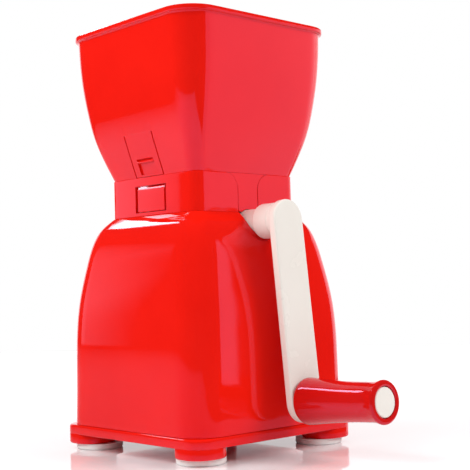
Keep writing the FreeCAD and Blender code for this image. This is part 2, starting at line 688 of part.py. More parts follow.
def draw_tapered_link(drawing, top_radius, foot_radius, length):
    """Two end arcs, one at the origin and one length below it, joined by tangent lines."""
    top, foot, span = top_radius.value, foot_radius.value, length.value
    slope = math.asin((foot - top) / span)
    up = Vector(0, 0, 1)
    upper = drawing.addGeometry(
        Part.ArcOfCircle(Part.Circle(Vector(0, 0, 0), up, top), slope, math.pi - slope), False)
    lower = drawing.addGeometry(
        Part.ArcOfCircle(Part.Circle(Vector(0, -span, 0), up, foot), math.pi - slope, slope), False)
    side_x, top_y = math.cos(slope), math.sin(slope)
    right = drawing.addGeometry(Part.LineSegment(
        Vector(top * side_x, top * top_y, 0), Vector(foot * side_x, foot * top_y - span, 0)), False)
    left = drawing.addGeometry(Part.LineSegment(
        Vector(-foot * side_x, foot * top_y - span, 0), Vector(-top * side_x, top * top_y, 0)), False)
    for line, line_end, arc, arc_end in [(right, 1, upper, 1), (right, 2, lower, 2),
                                         (left, 1, lower, 1), (left, 2, upper, 2)]:
        drawing.addConstraint(Sketcher.Constraint("Tangent", line, line_end, arc, arc_end))
    hold_radius(drawing, upper, top_radius)
    hold_radius(drawing, lower, foot_radius)
    hold(drawing, "DistanceX", upper, 3, 0)
    hold(drawing, "DistanceY", upper, 3, 0)
    hold(drawing, "DistanceX", lower, 3, 0)
    hold(drawing, "DistanceY", lower, 3, -length)


def on_grip_axis(part):
    """Puts a turned piece on the grip's axis, at the foot of the leaning arm."""
    lean(part)
    part.Placement = part.Placement.multiply(Placement(Vector(0, 0, -D.arm_length.value), Rotation()))
    turn = "(cos(Dims.arm_lean * 1 deg) * Dims.arm_length)"
    bind(part, "Placement.Base.x", Length(0, "Dims.arm_face + sin(Dims.arm_lean * 1 deg) * Dims.arm_length"))
    bind(part, "Placement.Base.y", Length(0, turn + " * sin(Dims.arm_turn * 1 deg)"))
    bind(part, "Placement.Base.z", Length(0, "Dims.axis_height - " + turn + " * cos(Dims.arm_turn * 1 deg)"))
    return part


def make_grip_washer():
    start = D.arm_thick
    inner = D.pin_radius + D.running
    part = turned("grip_washer", [(start, inner), (start + WASHER_THICK, inner),
                                  (start + WASHER_THICK, 9.5), (start, 9.5)])
    return on_grip_axis(part)


def make_grip_pin():
    """The pin that the grip turns on: a tenon in the arm, the journal and a seat for the cap."""
    start = D.arm_thick
    finish = start + D.grip_length + WASHER_THICK - CAP_THICK
    part = turned("grip_pin", [
        (0.4, 0), (0.4, D.pin_radius - 0.5), (start, D.pin_radius - 0.5), (start, D.pin_radius),
        (finish, D.pin_radius), (finish, 0)])
    return on_grip_axis(part)


def make_grip_end_cap():
    start = D.arm_thick + D.grip_length + WASHER_THICK - CAP_THICK
    part = turned("grip_end_cap", [
        (start, 0), (start, D.cap_radius), (start + CAP_THICK - 0.7, D.cap_radius),
        (start + CAP_THICK - 0.1, D.cap_radius - 0.9), (start + CAP_THICK - 0.1, 0)])
    return on_grip_axis(part)


def make_grip_sleeve():
    """The turned grip: widest at the arm, drawn in to a waist, flared at its open end."""
    start = D.arm_thick + WASHER_THICK + 0.1
    finish = start + D.grip_length - 0.1
    bore = D.pin_radius + D.running
    recess = finish - CAP_THICK - 0.2
    part = turned("grip_sleeve", [
        (start, bore), (start, D.grip_radius - 1.4), (start + 0.6, D.grip_radius - 0.4),
        (start + 2.0, D.grip_radius), (start + 18, D.grip_waist + 0.9), (start + 36, D.grip_waist + 0.1),
        (finish - 9, D.grip_waist), (finish - 3.6, D.grip_flare - 0.5), (finish - 1.4, D.grip_flare),
        (finish - 0.3, D.grip_flare - 0.5), (finish, D.grip_flare - 1.4), (finish, D.cap_radius + 0.3),
        (recess, D.cap_radius + 0.3), (recess, bore)])
    return on_grip_axis(part)


# ---------------------------------------------------------------- build, check, write

def build():
    parts = [make_base_tray()]
    corners = [(1, -1), (1, 1), (-1, 1), (-1, -1)]
    parts += [make_foot_pad(n, x, y) for n, (x, y) in enumerate(corners, start=1)]
    parts += [make_bell_housing(), make_neck_collar(), make_barrel_trough(), make_shaft_bush(),
              make_mincing_plate(), make_feed_screw(), make_cross_knife(), make_thrust_washer(),
              make_drive_shaft(), make_hopper_shell(), make_feed_throat(),
              make_latch_tongue("latch_tongue_front", -1), make_latch_tongue("latch_tongue_back", 1),
              make_crank_arm(), make_grip_washer(), make_grip_pin(), make_grip_end_cap(),
              make_grip_sleeve()]
    doc.recompute()
    return parts


def check(parts):
    for item in doc.Objects:
        if "Invalid" in item.State or "Error" in item.State:
            raise RuntimeError("%s is %s" % (item.Name, item.State))
    for part in parts:
        shape = part.Shape
        if shape.isNull() or not shape.isValid() or len(shape.Solids) != 1:
            raise RuntimeError("%s is not one valid solid" % part.Label)


def write(parts):
    os.makedirs("parts", exist_ok=True)
    for part in parts:
        part.Shape.exportStep(os.path.join("parts", part.Label + ".step"))
        print("%-20s %9.1f mm3" % (part.Label, part.Shape.Volume))


sub_parts = build()
check(sub_parts)
write(sub_parts)
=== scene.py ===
import math

import bmesh
import bpy
import mathutils
import numpy as np
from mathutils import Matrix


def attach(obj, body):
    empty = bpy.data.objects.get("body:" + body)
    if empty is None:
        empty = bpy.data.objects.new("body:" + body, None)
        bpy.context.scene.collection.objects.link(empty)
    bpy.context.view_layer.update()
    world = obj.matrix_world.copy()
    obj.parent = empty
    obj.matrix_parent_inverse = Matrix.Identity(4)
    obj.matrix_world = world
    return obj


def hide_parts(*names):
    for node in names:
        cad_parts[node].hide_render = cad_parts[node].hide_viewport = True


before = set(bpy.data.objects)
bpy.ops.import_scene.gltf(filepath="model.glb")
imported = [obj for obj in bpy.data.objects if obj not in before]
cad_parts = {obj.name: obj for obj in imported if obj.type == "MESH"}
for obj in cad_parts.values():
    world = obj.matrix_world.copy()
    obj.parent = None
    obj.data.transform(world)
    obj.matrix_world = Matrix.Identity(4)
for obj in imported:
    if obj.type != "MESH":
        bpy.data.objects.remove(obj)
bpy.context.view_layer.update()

MM = 0.001
WALL = 2.4
SIDES = ("front", "crank", "back", "left")


# ---------------------------------------------------------------- curves and grids

def smooth_through(points, at):
    """The natural cubic spline through points (height, value), read at the heights in at.

    The second derivatives come from the usual tridiagonal system, zero at both ends, and each
    span is the cubic that they and the end values give."""
    x, y = np.array(points, float).T
    step = np.diff(x)
    count = len(x)
    system = np.eye(count)
    right = np.zeros(count)
    inner = np.arange(1, count - 1)
    system[inner, inner - 1] = step[:-1]
    system[inner, inner] = 2 * (step[:-1] + step[1:])
    system[inner, inner + 1] = step[1:]
    right[1:-1] = 6 * (np.diff(y[1:]) / step[1:] - np.diff(y[:-1]) / step[:-1])
    bend = np.linalg.solve(system, right)
    at = np.clip(np.asarray(at, float), x[0], x[-1])
    span = np.clip(np.searchsorted(x, at, side="right") - 1, 0, count - 2)
    h = step[span]
    a, b = (x[span + 1] - at) / h, (at - x[span]) / h
    curve = (a ** 3 - a) * bend[span] + (b ** 3 - b) * bend[span + 1]
    return a * y[span] + b * y[span + 1] + curve * h * h / 6


def quarter(count):
    """Sine and cosine of count + 1 angles from 0 to a right angle."""
    angle = np.linspace(0, math.pi / 2, count + 1)
    return np.sin(angle), np.cos(angle)


def stretch(start, end, marks, cells):
    """Positions from start to end, row by row, in blocks that meet at the marks."""
    stops = np.column_stack([start] + list(marks) + [end])
    blocks = [stops[:, j:j + 1] + (stops[:, j + 1:j + 2] - stops[:, j:j + 1]) * (np.arange(n) / n)
              for j, n in enumerate(cells)]
    return np.hstack(blocks + [stops[:, -1:]])


def square_loop(half, corner, height, corner_cells=14, side_cells=24, marks=None):
    """Grid of points round a rounded square, one row for each half width, corner radius and height.

    Each side is a straight run between its two tangent points and each corner is a quarter circle
    of the corner radius about the point (half - corner) from the middle, both ways. marks gives a
    side name a list of (position along the side, cells up to it) that its columns pass through.
    Columns run anticlockwise from above, starting on the front.  Returns the grid and the first
    column of each side."""
    half, corner, height = np.broadcast_arrays(*[np.asarray(v, float) for v in (half, corner, height)])
    flat = half - corner
    sine, cosine = quarter(corner_cells)
    marks = marks or {}
    along_all, out_all, side_of, first = [], [], [], {}
    total = 0
    for number, side in enumerate(SIDES):
        stops = [np.broadcast_to(np.asarray(p, float), half.shape) for p, n in marks.get(side, [])]
        cells = [n for p, n in marks.get(side, [])]
        last = cells[0] if cells else side_cells
        along = stretch(-flat, flat, stops, cells + [last])
        out = np.broadcast_to(half[:, None], along.shape)
        turn_along = flat[:, None] + corner[:, None] * sine[1:-1]
        turn_out = flat[:, None] + corner[:, None] * cosine[1:-1]
        along_all.append(np.hstack([along, turn_along]))
        out_all.append(np.hstack([out, turn_out]))
        side_of += [number] * along_all[-1].shape[1]
        first[side] = total
        total = len(side_of)
    along, out = np.hstack(along_all), np.hstack(out_all)
    angle = np.array(side_of) * math.pi / 2
    x = along * np.cos(angle) + out * np.sin(angle)
    y = along * np.sin(angle) - out * np.cos(angle)
    z = np.broadcast_to(height[:, None], x.shape)
    return np.stack([x, y, z], axis=-1), first


def grid_faces(index, around=True, flip=False):
    """Quads between the rows and columns of an array of vertex numbers."""
    left, right = (index, np.roll(index, -1, axis=1)) if around else (index[:, :-1], index[:, 1:])
    quads = np.stack([left[:-1], right[:-1], right[1:], left[1:]], axis=-1).reshape(-1, 4)
    return quads[:, ::-1] if flip else quads


def shell(outer, inner, hole=None):
    """Points and quads of a closed wall between two grids that share rows and columns.

    Cells where hole is true are left out of both faces.  Every edge between a kept cell and a
    missing one, and the first and last rows, get a strip from the outer grid to the inner."""
    rows, columns = outer.shape[:2]
    points = np.concatenate([outer.reshape(-1, 3), inner.reshape(-1, 3)])
    out = np.arange(rows * columns).reshape(rows, columns)
    back = out + rows * columns
    kept = np.ones((rows - 1, columns), bool) if hole is None else ~hole
    flat = kept.ravel()
    faces = [grid_faces(out)[flat], grid_faces(back, flip=True)[flat]]
    fence = np.zeros((1, columns), bool)
    above, below = np.vstack([kept[1:], fence]), np.vstack([fence, kept[:-1]])

    def strip(i, j, step_i, step_j, turn):
        k, m = i + step_i, (j + step_j) % columns
        quad = np.stack([out[i, j % columns], back[i, j % columns], back[k, m], out[k, m]], axis=-1)
        faces.append(quad[:, ::-1] if turn else quad)

    i, j = np.nonzero(kept & ~above)
    strip(i + 1, j, 0, 1, True)
    i, j = np.nonzero(kept & ~below)
    strip(i, j, 0, 1, False)
    i, j = np.nonzero(kept & ~np.roll(kept, -1, axis=1))
    strip(i, j + 1, 1, 0, False)
    i, j = np.nonzero(kept & ~np.roll(kept, 1, axis=1))
    strip(i, j, 1, 0, True)
    return points, np.concatenate(faces)


def closed_rows(rows):
    """Points and quads of a block whose rows of points run from a pole, out and round, to a pole."""
    grid = np.asarray(rows)
    index = np.arange(grid.shape[0] * grid.shape[1]).reshape(grid.shape[:2])
    return grid.reshape(-1, 3), grid_faces(index)


def turned_grid(profile, steps=96, start=0.0):
    """A profile of (distance along X, radius), given a turn about X in steps."""
    along, radius = np.array(profile, float).T
    angle = start + np.arange(steps) * 2 * math.pi / steps
    x = np.broadcast_to(along[:, None], (len(along), steps))
    y = radius[:, None] * np.cos(angle)
    z = radius[:, None] * np.sin(angle)
    return np.stack([x, y, z], axis=-1)


def arc_points(centre, radius, start, end, count=6):
    """Points on an arc in the profile plane, between two angles in degrees."""
    angle = np.radians(np.linspace(start, end, count + 1))
    return [(centre[0] + radius * math.cos(t), centre[1] + radius * math.sin(t)) for t in angle]


def joined(*pieces):
    """Several (points, quads) as one."""
    points, faces, count = [], [], 0
    for some_points, some_faces in pieces:
        points.append(some_points)
        faces.append(some_faces + count)
        count += len(some_points)
    return np.concatenate(points), np.concatenate(faces)


# ---------------------------------------------------------------- pieces

def make_piece(name, surface, body, material, nodes=(), sharp=38, bevel=0.0, segments=2):
    """A mesh from (points in millimetres, quads), set on its body and standing for CAD nodes."""
    points, faces = surface
    mesh = bpy.data.meshes.new(name)
    mesh.from_pydata((np.asarray(points) * MM).tolist(), [], faces.tolist())
    work = bmesh.new()
    work.from_mesh(mesh)
    bmesh.ops.remove_doubles(work, verts=work.verts, dist=2e-6)
    loose = [v for v in work.verts if not v.link_faces]
    bmesh.ops.delete(work, geom=loose, context="VERTS")
    bmesh.ops.dissolve_degenerate(work, dist=1e-7, edges=work.edges)
    work.to_mesh(mesh)
    work.free()
    mesh.shade_smooth()
    mesh.set_sharp_from_angle(angle=math.radians(sharp))
    mesh.materials.append(material)
    thing = bpy.data.objects.new(name, mesh)
    bpy.context.scene.collection.objects.link(thing)
    if bevel:
        edge = thing.modifiers.new("edges", "BEVEL")
        edge.width = bevel * MM
        edge.segments = segments
        edge.limit_method = "ANGLE"
        edge.angle_limit = math.radians(50)
        edge.harden_normals = True
        edge.use_clamp_overlap = True
    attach(thing, body)
    if nodes:
        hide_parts(*nodes)
    return thing


# ---------------------------------------------------------------- materials

def new_material(name, base, roughness, specular=0.5):
    """A Principled material with its plain numbers set."""
    material = bpy.data.materials.new(name)
    material.use_nodes = True
    shader = material.node_tree.nodes["Principled BSDF"]
    shader.inputs["Base Color"].default_value = (*base, 1)
    shader.inputs["Roughness"].default_value = roughness
    shader.inputs["Specular IOR Level"].default_value = specular
    return material, shader


def add_noise(material, scale, detail=3.0, stretch_by=(1, 1, 1)):
    """Noise on the piece's own coordinates, in cycles a metre."""
    tree = material.node_tree
    place = tree.nodes.new("ShaderNodeTexCoord")
    turn = tree.nodes.new("ShaderNodeMapping")
    turn.inputs["Scale"].default_value = stretch_by
    noise = tree.nodes.new("ShaderNodeTexNoise")
    noise.inputs["Scale"].default_value = scale
    noise.inputs["Detail"].default_value = detail
    tree.links.new(place.outputs["Object"], turn.inputs["Vector"])
    tree.links.new(turn.outputs["Vector"], noise.inputs["Vector"])
    return noise


def vary(material, shader, socket, noise, low, high):
    """Lets noise move a shader number between low and high."""
    tree = material.node_tree
    spread = tree.nodes.new("ShaderNodeMapRange")
    spread.inputs["From Min"].default_value = 0.3
    spread.inputs["From Max"].default_value = 0.7
    spread.inputs["To Min"].default_value = low
    spread.inputs["To Max"].default_value = high
    tree.links.new(noise.outputs["Fac"], spread.inputs["Value"])
    tree.links.new(spread.outputs["Result"], shader.inputs[socket])


def tint(material, shader, noise, dark, light):
    """Lets noise move the base colour between two close shades."""
    tree = material.node_tree
    ramp = tree.nodes.new("ShaderNodeValToRGB")
    ramp.color_ramp.elements[0].position = 0.3
    ramp.color_ramp.elements[0].color = (*dark, 1)
    ramp.color_ramp.elements[1].position = 0.7
    ramp.color_ramp.elements[1].color = (*light, 1)
    tree.links.new(noise.outputs["Fac"], ramp.inputs["Fac"])
    tree.links.new(ramp.outputs["Color"], shader.inputs["Base Color"])


def roughen(material, shader, noise, strength, depth):
    """Bump from noise, with its depth in millimetres."""
    tree = material.node_tree
    bump = tree.nodes.new("ShaderNodeBump")
    bump.inputs["Strength"].default_value = strength
    bump.inputs["Distance"].default_value = depth * MM
    tree.links.new(noise.outputs["Fac"], bump.inputs["Height"])
    tree.links.new(bump.outputs["Normal"], shader.inputs["Normal"])


def moulded_plastic(name, dark, light, roughness, sheen=(1, 1, 1), ripple=0.05):
    """Glossy moulded plastic: a faint drift of shade, of gloss and of the mould's polish."""
    material, shader = new_material(name, light, roughness[0])
    tint(material, shader, add_noise(material, 14), dark, light)
    vary(material, shader, "Roughness", add_noise(material, 60, 4), *roughness)
    roughen(material, shader, add_noise(material, 45, 2), ripple, 0.25)
    shader.inputs["Specular Tint"].default_value = (*sheen, 1)
    return material


ROSE_SHEEN = (1.0, 0.5, 1.0)
RED = moulded_plastic("glossy red plastic", (0.80, 0.009, 0.003), (0.87, 0.012, 0.0045), (0.03, 0.06),
                      ROSE_SHEEN)
# The grip's red: the glossy red made darker, as painted shade on the grip.
RED_WITH_PAINTED_SHADE = moulded_plastic("red plastic darkened as painted shade", (0.56, 0.006, 0.005), (0.62, 0.009, 0.007), (0.03, 0.06),
                           ROSE_SHEEN)
IVORY = moulded_plastic("ivory plastic", (0.86, 0.81, 0.745), (0.89, 0.85, 0.79), (0.2, 0.3))
NYLON = moulded_plastic("natural nylon", (0.76, 0.74, 0.68), (0.81, 0.79, 0.73), (0.32, 0.45), ripple=0.1)


def soft_pad():
    """Matt white pad plastic, with a fine grain."""
    material, shader = new_material("white pad plastic", (0.92, 0.91, 0.89), 0.5, 0.35)
    tint(material, shader, add_noise(material, 40), (0.89, 0.88, 0.86), (0.94, 0.93, 0.91))
    roughen(material, shader, add_noise(material, 900, 2), 0.15, 0.1)
    return material


def ground_steel():
    """Stainless steel with a fine ground lay."""
    material, shader = new_material("ground steel", (0.6, 0.6, 0.61), 0.28)
    shader.inputs["Metallic"].default_value = 1.0
    vary(material, shader, "Roughness", add_noise(material, 400, 3, (1, 1, 9)), 0.22, 0.38)
    roughen(material, shader, add_noise(material, 700, 2, (1, 1, 12)), 0.2, 0.05)
    return material


PAD = soft_pad()
STEEL = ground_steel()


# ---------------------------------------------------------------- hopper

NECK_LOW, NECK_TOP = 149.0, 173.5
NECK_HALF, NECK_CORNER = 43.6, 8.0
SPIGOT_HALF = 40.9
SPIGOT_LOW = 153.7
RIM_TOP, RIM_CORNER = 269.8, 19.5
GROOVE_TOP, GROOVE_DEPTH = 208.0, 0.22
LATCH_HALF, LATCH_GAP, LATCH_ROOT = 13.8, 1.0, 200.0
HOPPER = [(173.5, 43.45, 9.0), (187, 48.4, 10.0), (201, 53.2, 12.5), (217, 57.0, 15.5),
          (236, 60.1, 18.0), (252, 61.5, 19.0), (266.6, 62.1, 19.5)]


def hopper_half(height):
    """Half width of the hopper's outside at a height."""
    return smooth_through([(z, half) for z, half, corner in HOPPER], height)


def hopper_corner(height):
    """Corner radius of the hopper's outside at a height."""
    return smooth_through([(z, corner) for z, half, corner in HOPPER], height)


def hopper_surface():
    """The hopper: a rounded square whose half width and corner follow smooth curves of the height,
    with a spigot below, a rolled flange on top, and a wall of even thickness inside.  Each snap
    tongue has its own cut-out, and a shallow groove runs on up from either side of it."""
    fine = np.unique(np.concatenate([np.linspace(NECK_TOP, LATCH_ROOT, 15), np.linspace(LATCH_ROOT, 209, 5),
                                     np.linspace(209, 264.6, 26)]))
    wall_half, wall_corner = hopper_half(fine), hopper_corner(fine)
    spigot_rows = [(SPIGOT_HALF - 0.4, 4.6, SPIGOT_LOW), (SPIGOT_HALF, 5.0, SPIGOT_LOW + 0.5),
                   (SPIGOT_HALF, 5.0, 168), (SPIGOT_HALF, 5.0, NECK_TOP - 0.02)]
    flange = [(62.08, 265.2), (62.3, 265.9), (62.7, 266.3), (63.3, 266.45), (63.75, 266.62), (64.03, 267.0),
              (64.1, 267.5), (64.1, 268.7), (64.02, 269.2), (63.75, 269.58), (63.3, 269.77), (62.8, RIM_TOP),
              (61.0, RIM_TOP), (60.4, 269.72), (59.95, 269.45), (59.75, 269.0)]
    outer = spigot_rows + list(zip(wall_half, wall_corner, fine))
    outer += [(half, RIM_CORNER + (half - flange[0][0]) * 0.9, z) for half, z in flange]
    inner = [(SPIGOT_HALF - WALL, 3.0, SPIGOT_LOW), (SPIGOT_HALF - WALL, 3.0, SPIGOT_LOW + 0.5),
             (SPIGOT_HALF - WALL, 3.0, 168), (SPIGOT_HALF - WALL, 3.0, 172.5)]
    for half, corner, z in outer[4:4 + len(fine)]:
        half_in, corner_in = half - WALL, corner - WALL
        if z < 175.6:
            half_in, corner_in, z = SPIGOT_HALF - WALL, 3.0, z + 0.02
        inner.append((half_in, corner_in, z))
    tops = np.linspace(264.9, 268.9, len(flange))
    inner += [(hopper_half(z) - WALL, RIM_CORNER - WALL, z) for z in tops]
    edge = LATCH_HALF + LATCH_GAP / 2
    latch_marks = [(-edge - 0.5, 10), (-edge, 1), (-edge + 0.5, 1), (edge - 0.5, 12), (edge, 1),
                   (edge + 0.5, 1)]
    marks = {"front": latch_marks, "back": latch_marks}
    out_grid, first = square_loop(*np.array(outer).T, marks=marks)
    in_grid, first = square_loop(*np.array(inner).T, marks=marks)
    heights = np.array(outer)[:, 2]
    hole = np.zeros((len(outer) - 1, out_grid.shape[1]), bool)
    low_rows = np.nonzero(heights[1:] <= LATCH_ROOT + 0.01)[0]
    for side in ("front", "back"):
        start = first[side] + 11
        hole[np.ix_(low_rows, np.arange(start, start + 14))] = True
        groove = (heights > LATCH_ROOT + 0.01) & (heights < GROOVE_TOP)
        depth = GROOVE_DEPTH * np.clip((GROOVE_TOP - heights[groove]) / (GROOVE_TOP - LATCH_ROOT), 0, 1)
        push = 1 if side == "front" else -1
        for column in (start, start + 14):
            out_grid[groove, column, 1] += push * depth
    return shell(out_grid, in_grid, hole)


# Fingertip recess of a snap tongue: heights, and how deep the face lies under the wall there.
RECESS = [(175.0, 0.0), (175.25, 1.3), (182.05, 1.3), (182.3, -0.35), (182.75, -0.5), (184.55, 1.6),
          (184.75, 0.0)]
RECESS_STOPS = [z for z, depth in RECESS]
RECESS_HALF = 8.2


def latch_path():
    """Outer and inner half widths of a snap tongue at matching heights, from its hook to its root."""
    rise = np.unique(np.concatenate([np.linspace(NECK_TOP + 0.25, LATCH_ROOT, 15), RECESS_STOPS]))
    outer = [(43.0, 151.4), (43.3, 151.7), (43.3, 153.8), (43.3, 160.0), (43.3, 165.6), (43.25, 165.9),
             (42.15, 167.45), (41.9, 167.6), (SPIGOT_HALF + 0.2, 167.65), (SPIGOT_HALF, 167.9),
             (SPIGOT_HALF, NECK_TOP + 0.1), (SPIGOT_HALF + 0.3, NECK_TOP + 0.2)]
    outer += list(zip(hopper_half(rise), rise))
    inner = [(41.7, z) for half, z in outer[:3]] + [(SPIGOT_HALF - WALL, z) for half, z in outer[3:12]]
    inner += [(max(half - WALL, SPIGOT_HALF - WALL), z) for half, z in outer[12:]]
    return np.array(outer), np.array(inner)


def latch_surface(side):
    """A snap tongue: the latch path carried along X, with a fingertip recess pressed into it whose
    top is a sloped rib."""
    outer, inner = latch_path()
    half_width = LATCH_HALF - LATCH_GAP / 2
    right = np.concatenate([np.linspace(0.0, RECESS_HALF - 0.15, 7), [RECESS_HALF],
                            np.linspace(RECESS_HALF, half_width - 1.2, 5)[1:],
                            [half_width - 0.3, half_width]])
    x = np.concatenate([-right[:0:-1], right])
    rows, columns = len(outer), len(x)

    def sheet_of(path):
        """The path at every place across the tongue."""
        grid = np.empty((rows, columns, 3))
        grid[..., 0] = x * -side
        grid[..., 1] = side * path[:, :1]
        grid[..., 2] = path[:, 1:]
        return grid

    face = sheet_of(outer)
    depth = np.interp(outer[:, 1], *np.array(RECESS).T, left=0, right=0)
    inside = np.abs(x) < RECESS_HALF - 0.1
    face[..., 1] -= side * np.outer(depth, inside)
    hole = np.zeros((rows - 1, columns), bool)
    hole[:, -1] = True
    return shell(face, sheet_of(inner), hole)


AXIS_HEIGHT = 142.2
SHAFT_RADIUS = 8.3
SLOT_HALF, SLOT_LEAD = 8.75, 10.0
KEY_LOW, KEY_GAP, SADDLE_GAP = 150.9, 0.5, 0.4


def slot_edge(height):
    """Half width of the shaft slot at a height: straight, then a quarter round turning outwards."""
    rise = np.clip(np.asarray(height, float) - (NECK_TOP - SLOT_LEAD), 0, SLOT_LEAD)
    return SLOT_HALF + SLOT_LEAD - np.sqrt(SLOT_LEAD ** 2 - rise ** 2)


def slot_key_surface():
    """The tongue of the hopper that fills the shaft slot, with the slot's own outline, less a gap.

    Its foot straddles the shaft: each column starts on the circle about the shaft, or just above
    the neck's lower end beside it, and the rows close up evenly to the top."""
    lift, count = np.linspace(0, 1, 30), 30
    height = KEY_LOW + (NECK_TOP - 0.1 - KEY_LOW) * np.sin(lift * math.pi / 2)
    edge = slot_edge(height) - KEY_GAP
    across = np.linspace(-1, 1, 17)
    grids = []
    for x in (43.5, 40.95):
        grid = np.empty((count, len(across), 3))
        grid[..., 0] = x
        grid[..., 1] = edge[:, None] * across
        reach = SHAFT_RADIUS + SADDLE_GAP
        saddle = np.sqrt(np.maximum(reach ** 2 - grid[..., 1] ** 2, 0)) + AXIS_HEIGHT
        foot = np.maximum(NECK_LOW + 0.2, saddle) - height[0]
        grid[..., 2] = height[:, None] + foot * (NECK_TOP - height[:, None]) / (NECK_TOP - height[0])
        grids.append(grid)
    hole = np.zeros((count - 1, len(across)), bool)
    hole[:, -1] = True
    return shell(grids[0], grids[1], hole)


make_piece("hopper", hopper_surface(), "hopper", RED, ["hopper_shell"], bevel=0.3)
make_piece("hopper_slot_key", slot_key_surface(), "hopper", RED, bevel=0.35)
for name, side in (("front", -1), ("back", 1)):
    make_piece("snap_tongue_" + name, latch_surface(side), "latch_" + name, RED,
               ["latch_tongue_" + name], bevel=0.22)


# ---------------------------------------------------------------- neck and housing

CATCH_HALF, CATCH_TOP = 15.5, 168.0
LEDGE_HALF = 37.6


def neck_surface():
    """The neck: a straight rounded square wall with a ledge inside, the shaft slot open at the top
    of the crank side and a catch window on the front and the back."""
    top_turn = arc_points((NECK_HALF - 0.3, NECK_TOP - 0.3), 0.3, 0, 90, 3)
    lower = np.linspace(151.02, 163.5, 8)
    upper = NECK_TOP - 0.3 - 9.7 * np.cos(np.linspace(0, math.pi / 2, 19)[1:])
    upper = np.unique(np.concatenate([upper, [CATCH_TOP]]))
    outer = [(NECK_HALF, NECK_CORNER, NECK_LOW + 0.02), (NECK_HALF, NECK_CORNER, 151.0)]
    outer += [(NECK_HALF, NECK_CORNER, z) for z in np.concatenate([lower, upper])]
    outer += [(half, NECK_CORNER - (NECK_HALF - half), z) for half, z in top_turn[1:]]
    inner = [(LEDGE_HALF, 3.0, NECK_LOW + 0.02), (LEDGE_HALF, 3.0, 151.0)]
    inner += [(NECK_HALF - WALL, NECK_CORNER - WALL, z) for half, corner, z in outer[2:]]
    heights = np.array(outer)[:, 2]
    slot = slot_edge(np.minimum(heights, NECK_TOP - 0.02))
    catch_marks = [(-CATCH_HALF, 10), (CATCH_HALF, 12)]
    marks = {"front": catch_marks, "back": catch_marks, "crank": [(-slot, 12), (slot, 8)]}
    out_grid, first = square_loop(*np.array(outer).T, marks=marks)
    in_grid, first = square_loop(*np.array(inner).T, marks=marks)
    hole = np.zeros((len(outer) - 1, out_grid.shape[1]), bool)
    start = first["crank"] + 12
    hole[:, start:start + 8] = True
    middle = (heights[1:] + heights[:-1]) / 2
    window_rows = np.nonzero((middle > 151.01) & (middle < CATCH_TOP))[0]
    for side in ("front", "back"):
        start = first[side] + 10
        hole[np.ix_(window_rows, np.arange(start, start + 12))] = True
    return shell(out_grid, in_grid, hole)


BELL = [(16.0, 66.6, 19.0), (42, 66.1, 19.0), (68, 65.8, 19.0), (95, 63.9, 18.5), (118, 60.0, 17.8),
        (134, 55.7, 15.8), (143, 50.2, 12.0), (149.0, 43.7, 8.2)]


def bell_surface():
    """The bell housing: half width and corner follow smooth curves of the height, and the inside
    is the same curve moved in by the wall, square to the slope."""
    height = np.unique(np.concatenate([np.linspace(16.5, 110, 34), np.linspace(110, 148.9, 44)]))
    half = smooth_through([(z, w) for z, w, c in BELL], height)
    corner = smooth_through([(z, c) for z, w, c in BELL], height)
    slope = np.gradient(half, height)
    length = np.sqrt(1 + slope ** 2)
    half_in = half - WALL / length
    height_in = height + slope * WALL / length
    corner_in = np.maximum(corner - WALL, 4)
    foot = [(66.1, 18.5, 16.03), (66.45, 18.85, 16.15), (66.58, 18.98, 16.3)]
    outer = foot + list(zip(half, corner, height))
    inner = [(66.6 - WALL, 16.6, z) for w, c, z in foot] + list(zip(half_in, corner_in, height_in))
    outer += [(43.4, 8.0, 148.98)]
    inner += [(41.2, 5.6, 148.98)]
    out_grid, first = square_loop(*np.array(outer).T)
    in_grid, first = square_loop(*np.array(inner).T)
    return shell(out_grid, in_grid)


def bar_along_x(radius, start, end, steps=64):
    """A closed round bar about the crank axis."""
    grid = turned_grid([(end, 0), (end, radius), (start, radius), (start, 0)], steps)
    grid[..., 2] += AXIS_HEIGHT
    return closed_rows(grid)


def slot_cutter():
    """A tall round-bottomed bar that cuts the shaft slot; the hub's wider seat is cut by a round bar of its
    own.
    """
    angle = np.linspace(math.pi, 2 * math.pi, 33)
    outline = [(math.cos(t) * SLOT_HALF, math.sin(t) * SLOT_HALF) for t in angle]
    outline += [(SLOT_HALF, 15.0), (-SLOT_HALF, 15.0)]
    outline = np.array(outline)
    grid = np.empty((4, len(outline), 3))
    for row, (x, size) in enumerate([(62, 0), (62, 1), (30, 1), (30, 0)]):
        grid[row, :, 0] = x
        grid[row, :, 1] = outline[:, 0] * size
        grid[row, :, 2] = AXIS_HEIGHT + outline[:, 1] * size
    return closed_rows(grid)


def cut_away(thing, surface, name):
    """Cuts a closed surface out of a piece, for good."""
    points, faces = surface
    mesh = bpy.data.meshes.new(name)
    mesh.from_pydata((points * MM).tolist(), [], faces.tolist())
    work = bmesh.new()
    work.from_mesh(mesh)
    bmesh.ops.remove_doubles(work, verts=work.verts, dist=1e-6)
    bmesh.ops.recalc_face_normals(work, faces=work.faces)
    work.to_mesh(mesh)
    work.free()
    cutter = bpy.data.objects.new(name, mesh)
    bpy.context.scene.collection.objects.link(cutter)
    cut = thing.modifiers.new("cut", "BOOLEAN")
    cut.operation = "DIFFERENCE"
    cut.solver = "EXACT"
    cut.object = cutter
    bpy.context.view_layer.update()
    solid = bpy.data.meshes.new_from_object(thing.evaluated_get(bpy.context.evaluated_depsgraph_get()))
    thing.modifiers.clear()
    thing.data = solid
    bpy.data.objects.remove(cutter)
    solid.shade_smooth()
    solid.set_sharp_from_angle(angle=math.radians(38))


make_piece("neck_collar_shell", neck_surface(), "housing", RED, ["neck_collar"], bevel=0.3)
bell = make_piece("bell_shell", bell_surface(), "housing", RED, ["bell_housing"])
cut_away(bell, slot_cutter(), "slot cutter")
cut_away(bell, bar_along_x(12.1, 55.2, 62), "hub seat cutter")


# ---------------------------------------------------------------- base

